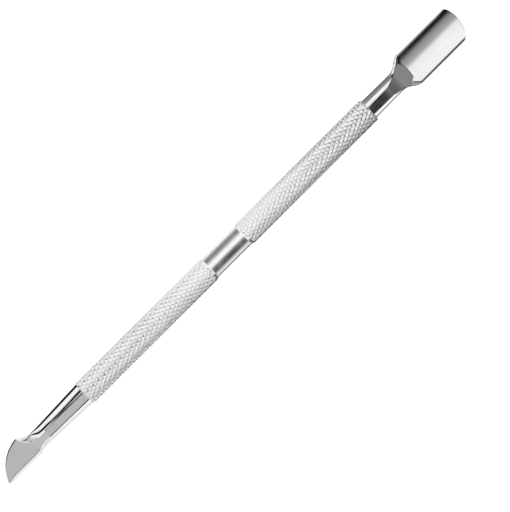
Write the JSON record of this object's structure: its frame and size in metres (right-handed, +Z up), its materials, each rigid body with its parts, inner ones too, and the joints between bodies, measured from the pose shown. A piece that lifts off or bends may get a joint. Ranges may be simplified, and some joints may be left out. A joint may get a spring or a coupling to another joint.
{
  "type": "cuticle pusher",
  "caption": "Double-ended steel cuticle pusher: knurled handle with a smooth waist, trough-shaped pusher spoon at one end and small cuticle knife at the other.",
  "frame": {"origin": "on the surface that the tool lies on, under the middle of its overall length and width", "axes": "+X along the tool towards the pusher spoon, -X towards the cuticle knife, +Z up out of the working faces of both ends"},
  "size_m": [0.125, 0.0076, 0.0052],
  "materials": {
    "knurled_steel": "bright diamond-knurled stainless steel with a polished plain waist",
    "polished_steel": "mirror-polished stainless steel with faint lengthwise polishing lines",
    "ground_steel": "polished stainless steel with a finely ground flat face"
  },
  "bodies": {
    "root": {"knurled_handle": "knurled_steel", "pusher_spoon": "polished_steel", "cuticle_knife": "ground_steel"}
  },
  "joints": []
}
